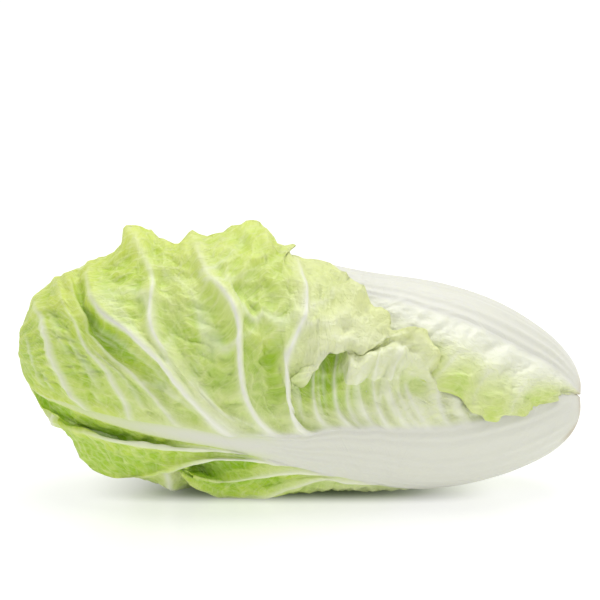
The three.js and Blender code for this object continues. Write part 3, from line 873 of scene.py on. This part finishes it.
# %% Branch veins of outer leaf 1
twigs_1 = [
    [(211,57), (204,60), (196,66), (190,74), (184,84), 0.55],
    [(208,53), (198,53), (190,56), (180,60), 0.45],
    [(188,26), (182,32), (176,40), (171,50), 0.3],
    [(230,17), (224,30), (216,44), 0.3],
    [(214,6), (211,18), (209,32), (206,44), 0.3],
    [(164,20), (170,26), (178,38), 0.25],
    [(157,34), (146,36), (134,38), (122,44), 0.55],
    [(154,44), (144,50), (134,62), 0.5],
    [(140,30), (128,30), (118,34), 0.3],
    [(252,30), (256,40), (262,50), 0.35],
    [(272,18), (280,20), (288,26), 0.25],
    [(262,8), (268,4), (276,2), (284,0), 0.2],
]
print("branch veins:", len(twigs_1))

# %% Outer leaf 1
outer_1 = build_leaf("fresh_outer_leaf_1", {
    "lower": lower_1, "upper": upper_1, "rows": 262, "columns": (54, 44, 88), "seed": 11,
    "twigs": twigs_1, "tucked": nowhere, "base_lift": 1.5,
    "ragged": lambda roots: 0.012 + 0.028 * smooth(roots, 148, 165),
    "relief": 1.0, "near_relief": 0.6, "petiole_bulge": 1.5, "petiole_flesh": 6.0, "strings": 7,
    "pleats": lambda side: 1.0 * (side > 0),
    "ruffle": lambda station, side: (
        np.where(side > 0, 1.5 * smooth(station, 60, 140), 0.3) * (1 - 0.6 * smooth(station, 280, 312))
    ),
    "crumple": lambda station, outward, side: (
        (side > 0) * smooth(outward, 0.5, 0.8) * (0.8 - 0.5 * smooth(station, 145, 175))
    ),
    "green": lambda station, outward, side: (
        0.2 + 0.48 * smooth(station, 80, 200) + 0.32 * smooth(station, 215, 285) + 0.3 * outward**2
        + 0.35 * (side < 0) * smooth(station, 120, 200)
        - 0.55 * (side > 0) * smooth(outward, 0.45, 0.8) * (1 - smooth(station, 130, 190))
    ),
    # painted shade in the dents
    "painted_dent_shade": lambda station, side: np.where(
        side < 0, 1.0, 0.8 - 0.6 * smooth(station, 165, 185) + 0.8 * smooth(station, 238, 256)
    ),
    # painted shade on the lower blade, which faces down
    "shade": lambda station, side: 0.25 * (side < 0) * smooth(station, 150, 200),
    "scar": lambda station, around: 1.2 * np.exp(-(((station - 6) / 5) ** 2) - ((around + 46) / 12) ** 2),
})


# %% [markdown]
# ## The second leaf
# It grows on the far side of the stem, so its petiole runs along the top of the head. Its near wing is
# blanched and crinkled. By the butt that wing has slipped out over the first leaf, and its edge is a frill.
# Further on it goes in under the first leaf, where the packing keeps it clear. Only the near wing shows well,
# so its guides were laid one by one, and the far wing's are worked out.

# %% Sides of a leaf that hug the head
COMMON_WIDTH = [60, 66, 84, 98, 103, 106, 106, 106, 110]  # degrees from midrib to edge, butt to tips
WIDTH_GAIN = 0.022  # how much wider each leaf is than the one outside it
MOST_WRAP = 158  # degrees
GOLDEN_ANGLE = 137.5  # degrees from each leaf's midrib to the next
FIRST_MIDRIB = -47
ROOT_SHARES = [0.0, 0.13, 0.26, 0.39, 0.52, 0.64, 0.75, 0.85, 0.93, 1.0]
VEIN_SWEEP, SWEEP_CHANGE = 42, 5  # mm that a side vein runs towards the tip before it ends, more or less
SWEEP_CURVE, WIDTH_CURVE = 0.7, 1.25  # it runs along the midrib first, and turns out later
TIP_SWEEP = 0.3  # and the last one, by the leaf's tip
TIP_END = 317  # station where the leaves end


def rib_half_width(station, base):
    """Half the midrib's width in degrees, where base is the petiole's half width at the butt."""
    taper = 0.12 + 0.88 * (1 - smooth(station, 10, 250)) ** 1.3
    return base * taper * (1 - 0.75 * smooth(station, 200, 310))


def hugging_side(index, way, start, base, seed):
    """Guides for one side of a leaf wrapped closely round the head: way is 1 for the upper side, -1 for the
    lower one."""
    rng = np.random.default_rng(seed)
    middle = FIRST_MIDRIB + GOLDEN_ANGLE * index
    guides = []
    for share in ROOT_SHARES:
        root = start + (TIP_END - TIP_SWEEP - start) * share
        sweep = VEIN_SWEEP * (1 - smooth(share, 0.6, 1.0)) * smooth(share, -0.05, 0.3)
        sweep += TIP_SWEEP * smooth(share, 0.7, 1.0)
        sweep += rng.uniform(-SWEEP_CHANGE, SWEEP_CHANGE) * math.sin(math.pi * share)
        rib = rib_half_width(root, base)
        points = []
        for q in np.linspace(0, 1, GUIDE_POINTS):
            station = min(root + sweep * q**SWEEP_CURVE, TIP_END)
            width = along_curve(COMMON_WIDTH, station / HEAD_LENGTH) * (1 + WIDTH_GAIN * index)
            width = min(width, MOST_WRAP) * (1 - 0.05 * smooth(share, 0.9, 1.0) * q)
            around = middle + way * (rib + max(width - rib, 0) * q**WIDTH_CURVE)
            points.append((station, around, rng.uniform(-1, 1) * q))
        guides.append(guide(points, 0 if share in (0.0, 1.0) else rng.uniform(0.3, 0.6)))
    return guides


# %% Lower blade of outer leaf 2
lower_2 = fan([
    [(1,30), (1,26), (2,22)],
    [(9,37), (13,26,1), (17,14,2), (20,4,2)],
    [(16,41), (21,28,1), (27,16,3), (31,6,4), (33,-3,3)],
    [(23,43), (30,28,2), (38,16,4), (43,7,6), (46,0,7), (46,-5,6), 0.03],
    [(32,44), (40,30,1), (48,18,3), (53,8,6), (56,-1,8), (56,-9,7)],
    [(40,46), (48,32,2), (56,22,3), (62,13,3), (66,5,6), (65,-4,7), 0.03],
    [(48,48), (57,35), (64,26,2), (71,17,5), (74,10,5), (74,5,5)],
    [(57,51), (66,39,1), (73,30,1), (79,22,2), (84,15,3), (84,9,2), 0.05],
    [(67,54), (76,42), (82,34,-1), (88,26), (92,20), (96,14,-2)],
    [(76,56), (85,44), (92,36,-1), (97,30,-2), (102,23,-3), (106,17,-4), 0.06],
    [(88,58), (96,47), (102,39,-2), (108,32,-4), (113,24,-5), (118,17,-5), 0.1],
    [(102,63), (112,51,-2), (120,40,-4), (130,29,-5), (138,17,-5), 0.3],
    [(130,66), (152,50,-1), (172,34,-2), (186,16,-2), (194,0,-2), 0.4],
    [(170,72), (196,56,-1), (216,38,-2), (230,20,-2), (238,4,-2), 0.4],
    [(210,77), (234,62,-1), (252,46,-2), (266,30,-2), (274,16,-2), 0.4],
    [(250,82), (268,70,-1), (282,58,-2), (292,46,-2), (300,34,-2), 0.3],
    [(280,86), (292,80), (302,72), (309,62), (314,50), 0.2],
    [(298,88), (303,83), (308,76), (313,68), (316,58)],
    [(316.7,90), (316.8,89), (316.9,88), (317,88)],
])
print("lower guides:", len(lower_2))

# %% Outer leaf 2
upper_2 = hugging_side(1, 1, 1, 38, 21)
outer_2 = build_leaf("fresh_outer_leaf_2", {
    "lower": lower_2, "upper": upper_2, "rows": 250, "columns": (84, 52, 60), "seed": 23,
    "tucked": lambda station: smooth(station, 74, 92), "base_lift": 2, "ragged": lambda roots: 0.1,
    "relief": 0.6, "near_relief": 0.35, "petiole_bulge": 2.0, "petiole_flesh": 6.0, "strings": 9,
    "pleats": lambda side: 0.6 * (side > 0), "ladder": 0.75,
    "ruffle": lambda station, side: (
        np.where(side < 0, 2.6 - 1.6 * smooth(station, 80, 110), 1.6) * (1 - 0.9 * smooth(station, 270, 305))
    ),
    "crumple": lambda station, outward, side: (side < 0) * smooth(outward, 0.35, 0.75),
    "green": lambda station, outward, side: np.where(
        side < 0,
        0.02 + 0.7 * smooth(outward, 0.2, 0.7) * smooth(station, 4, 26) + 0.4 * smooth(station, 120, 260),
        0.1 + 0.5 * smooth(station, 80, 260) + 0.3 * outward**2,
    ),
    "shade": lambda station, side: -0.25 * (side < 0),
    "blanched": lambda outward, side: (side < 0) * 0.75 * (1 - smooth(outward, 0.1, 0.42)),
})


# %% [markdown]
# ## The other leaves
# Inside the first two, each leaf hugs the one before it. Each starts further up the stem, and the inner ones
# are paler and less puckered, because they grew in the dark. Copies of one leaf could stand for them, but
# where they show at the tips no two are alike, so each is built with its own seed and its own angle.

# %% The other leaves
LEAVES = 20  # in all
FIRST_START, START_STEP = 3, 2.5  # mm up the stem where the third leaf starts, and each leaf after it
LAYERS = [  # name, first and last leaf, rows, columns and relief
    ("outer", 3, 3, 150, (60, 20, 60), 0.7),
    ("outer", 4, 5, 110, (60, 20, 60), 0.7),
    ("middle", 1, 8, 80, (34, 12, 34), 0.45),
    ("heart", 1, 7, 64, (26, 10, 26), 0.35),
]


def packed_leaf(node, index, rows, columns, relief):
    """A leaf inside the first two, where index 2 is the outermost."""
    depth = index / (LEAVES - 1)
    start = FIRST_START + START_STEP * (index - 2)
    base = 36 + 4 * depth
    return build_leaf("fresh_" + node, {
        "lower": hugging_side(index, -1, start, base, 40 + index),
        "upper": hugging_side(index, 1, start, base, 70 + index),
        "rows": rows, "columns": columns, "seed": 100 + 7 * index,
        "relief": relief, "petiole_bulge": 1.5 - depth, "petiole_flesh": 5 - 3 * depth, "strings": 6,
        "ruffle": lambda station, side: 0.9 * relief * (1 - 0.9 * smooth(station, 270, 305)),
        "green": lambda station, outward, side: 0.1 + 0.6 * smooth(station, 80, 280) + 0.3 * outward**2,
    })


inner_leaves = {}
for layer, first, last, *sizes in LAYERS:
    for number in range(first, last + 1):
        node = f"{layer}_leaf_{number}"
        inner_leaves[node] = packed_leaf(node, 2 + len(inner_leaves), *sizes)

# %% [markdown]
# ## The stem
# All petioles join one short stem. Its cut face shows at the butt: pale, a little rough, brown at the rim
# where it has dried since it was cut. It is turned from a profile, as on a lathe: a plain cylinder would have
# too clean a rim.

# %% Cut stem finish
STAIN_SCALE = 160.0  # per metre, for stains about 6 mm wide
CUT_ROUGHNESS = 0.5  # wet fibres: a duller shine than the leaf's skin
RIM_BROWN = 0.6  # dryness where the brown is full


def cut_stem(name):
    """Pale wet core, browner towards the rim of the cut."""
    material = bpy.data.materials.new(name)
    add = nodes_of(material)
    rim = add("Attribute", {}, "Fac", attribute_name="rim")
    place = add("TexCoord", {}, "Object")
    stains = add("TexNoise", {"Vector": place, "Scale": STAIN_SCALE, "Detail": 4.0}, "Fac")
    dried = add("Math", {0: rim, 1: stains}, **TIMES)
    colour = add("ValToRGB", {"Fac": dried})
    ramp = colour.node.color_ramp.elements
    ramp[0].color = linear("#e9e8d2")
    ramp[1].position, ramp[1].color = RIM_BROWN, linear("#b29a66")
    bump = add("Bump", {"Height": stains, "Strength": 0.5, "Distance": WRINKLE_HEIGHT * MM})
    surface = add("BsdfPrincipled", {
        "Base Color": colour, "Roughness": CUT_ROUGHNESS, "IOR": TISSUE_IOR, "Normal": bump,
    })
    add("OutputMaterial", {"Surface": surface})
    print(name, "with", len(material.node_tree.nodes), "nodes")
    return material


# %% Stem
STEM_PROFILE = [  # mm from the cut, and radius in mm
    (0, 0), (0, 6), (0.2, 11), (0.8, 13.2), (3, 14.5), (20, 17), (45, 15), (70, 10), (84, 3), (85, 0),
]
STEM_RINGS, STEM_SIDES = 60, 64
FULL_RADIUS = 18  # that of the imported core, in the profile's measure
RUB, RUB_HEIGHT = 2.5, 0.35  # mm, how wide and how high the cut's roughness is
CUT_DEPTH, RIM_START, RIM_END = 8, 9, 14  # mm: the skin browns by the cut, from one radius to the other


def build_stem():
    """Turns the stem from its profile, with a rough cut at the butt."""
    stem_low, stem_high = (np.array(corner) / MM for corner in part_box("stem_core"))
    core = (stem_low + stem_high) / 2
    reach = (stem_high[2] - stem_low[2]) / 2
    profile = along_curve(STEM_PROFILE, np.linspace(0, 1, STEM_RINGS))
    turn = np.linspace(0, 2 * math.pi, STEM_SIDES, endpoint=False)
    x, radius = profile[:, :1], np.maximum(profile[:, 1:], 0.01)
    wobble = 1 + 0.04 * np.cos(3 * turn + 1) + 0.03 * np.cos(5 * turn)
    rough = plane_noise(radius * np.cos(turn), radius * np.sin(turn), RUB, 9)
    rough = rough * RUB_HEIGHT * np.exp(-x / 2)
    points = np.stack([
        stem_high[0] - x + rough,
        core[1] + radius * wobble * np.cos(turn) * reach / FULL_RADIUS,
        core[2] + radius * wobble * np.sin(turn) * reach / FULL_RADIUS,
    ], -1).reshape(-1, 3)
    ids = np.arange(STEM_RINGS * STEM_SIDES).reshape(STEM_RINGS, STEM_SIDES)
    after = np.roll(ids, -1, 1)
    faces = np.stack([ids[:-1], after[:-1], after[1:], ids[1:]], -1).reshape(-1, 4).tolist()
    faces += [ids[0, ::-1].tolist(), ids[-1].tolist()]
    rim = smooth(radius[:, 0], RIM_START, RIM_END) * (x[:, 0] < CUT_DEPTH)
    print("stem", np.round(points.min(0), 1), np.round(points.max(0), 1))
    return new_piece("cut_stem", points, faces, {"rim": np.repeat(rim, STEM_SIDES)})


stem = build_stem()

# %% [markdown]
# ## Floor, light and camera
# The card glows, and under the head a shadow is painted into that glow, tinted green.
# White card under a white sky, with one very soft light from nearly straight above, as in a light tent.
# Small lamps all round could light it too, but each would leave a shadow of its own.

# %% Floor
TABLE_GLOW = 0.62  # the card glows, as a light table would, so far from the head no shadow shows on it
PAINTED_SHADOW_GLOW = 0.05  # painted shadow: what is left of that glow under the head
PAINTED_SHADOW_CENTRE = (-6, 0)  # mm, the middle of the painted shadow
PAINTED_SHADOW_REACH = (120, 42)  # half the length and width of the painted shadow
PAINTED_SHADOW_START, PAINTED_SHADOW_END = 0.02, 1.05  # shares of the reach, squared, between which the glow comes back
CARD_ROUGHNESS = 0.35  # smooth sized card: a faint, blurred reflection under the head
FLOOR_RADIUS = 6  # metres
bpy.ops.mesh.primitive_circle_add(vertices=128, radius=FLOOR_RADIUS, fill_type="NGON")
floor = bpy.context.object
floor.name = "floor"
card = bpy.data.materials.new("white_card")
add = nodes_of(card)
place = add("TexCoord", {}, "Object")
# The glow fades in an ellipse under the head: a painted shadow, not one cast by the head.
centre = (PAINTED_SHADOW_CENTRE[0] * MM, PAINTED_SHADOW_CENTRE[1] * MM, 0)
reaches = (1 / (PAINTED_SHADOW_REACH[0] * MM), 1 / (PAINTED_SHADOW_REACH[1] * MM), 0)
from_centre = add("VectorMath", {0: place, 1: centre}, **MINUS)
in_reaches = add("VectorMath", {0: from_centre, 1: reaches}, **TIMES)
squared = add("VectorMath", {0: in_reaches, 1: in_reaches}, **TIMES)
out_of_painted_shadow = add("VectorMath", {0: squared}, "Value", **LENGTH)
glow = span(PAINTED_SHADOW_START, PAINTED_SHADOW_END, PAINTED_SHADOW_GLOW, TABLE_GLOW)
card_glow_with_painted_shadow = add("MapRange", {"Value": out_of_painted_shadow, **glow}, **SOFT)
painted_shadow_tint = add("ValToRGB", {"Fac": out_of_painted_shadow})
ramp = painted_shadow_tint.node.color_ramp.elements
ramp[0].color = linear("#8aa858")  # painted green light in the painted shadow, as if it had come through the leaves
ramp[1].position = 0.5
surface = add("BsdfPrincipled", {
    "Base Color": linear("#a4a6a2"), "Roughness": CARD_ROUGHNESS,
    "Emission Color": painted_shadow_tint, "Emission Strength": card_glow_with_painted_shadow,
})
add("OutputMaterial", {"Surface": surface})
floor.data.materials.append(card)
print("card", 2 * FLOOR_RADIUS, "m wide, shaded for", 2 * PAINTED_SHADOW_REACH[0], "mm along the head")

# %% Light
SKY_LOW, SKY_HIGH = 1.05, 0.6  # brightness near the horizon, where the backdrop glows, and overhead
GLOW_START, GLOW_END = 0.12, 0.4  # heights on the sky's sphere between which one becomes the other
PANEL_POWER, PANEL_SPREAD = 1.9, 50  # the panel is so wide that its shadows have no edge
PANEL_TILT = (-12, 6, 0)  # degrees
world = bpy.data.worlds.new("light_tent")
add = nodes_of(world)
direction = add("TexCoord", {}, "Generated")
height = add("SeparateXYZ", {0: direction}, "Z")
glow = add("MapRange", {"Value": height, **span(GLOW_START, GLOW_END, SKY_LOW, SKY_HIGH)}, **SOFT)
sky = add("Background", {"Color": linear("#ffffff"), "Strength": glow})
add("OutputWorld", {"Surface": sky})
bpy.context.scene.world = world

lamp = bpy.data.lights.new("overhead_panel", "SUN")
lamp.energy = PANEL_POWER
lamp.angle = math.radians(PANEL_SPREAD)
overhead = bpy.data.objects.new("overhead_panel", lamp)
overhead.rotation_euler = [math.radians(tilt) for tilt in PANEL_TILT]
bpy.context.scene.collection.objects.link(overhead)
bpy.context.scene.view_settings.view_transform = "Standard"
print("sky", SKY_LOW, "to", SKY_HIGH, "and panel", PANEL_POWER)

# %% Camera
CAMERA_RISE = 8.0  # degrees
LENS, SENSOR = 100.0, 36.0
FRAME_WIDTH = 340.0  # mm of scene across the picture
AIM_HEIGHT = 108.0  # mm
camera_data = bpy.data.cameras.new("camera")
camera_data.lens, camera_data.sensor_width = LENS, SENSOR
camera = bpy.data.objects.new("camera", camera_data)
distance = FRAME_WIDTH * LENS / SENSOR
rise = math.radians(CAMERA_RISE)
back, up = distance * math.cos(rise), AIM_HEIGHT + distance * math.sin(rise)
camera.location = (0, -back * MM, up * MM)
camera.rotation_euler = (math.radians(90 - CAMERA_RISE), 0, 0)
bpy.context.scene.collection.objects.link(camera)
bpy.context.scene.camera = camera
print("camera in mm:", np.round(np.array(camera.location) / MM))

# %% Hand-over
pieces = {"outer_leaf_1": outer_1, "outer_leaf_2": outer_2, "stem_core": stem, **inner_leaves}
finishes = {
    "outer_leaf": outer_finish, "middle_leaf": middle_finish, "heart_leaf": heart_finish,
    "stem": cut_stem("cut_cabbage_stem"),
}
for node, piece in pieces.items():
    slot = "stem" if node == "stem_core" else node.rsplit("_", 1)[0]
    piece.data.materials.append(finishes[slot])
    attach(piece, "root")
    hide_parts(node)
faces = {piece.name: len(piece.data.polygons) * 2 for piece in pieces.values()}
print("triangles in all", sum(faces.values()), "most in one", max(faces.values()))
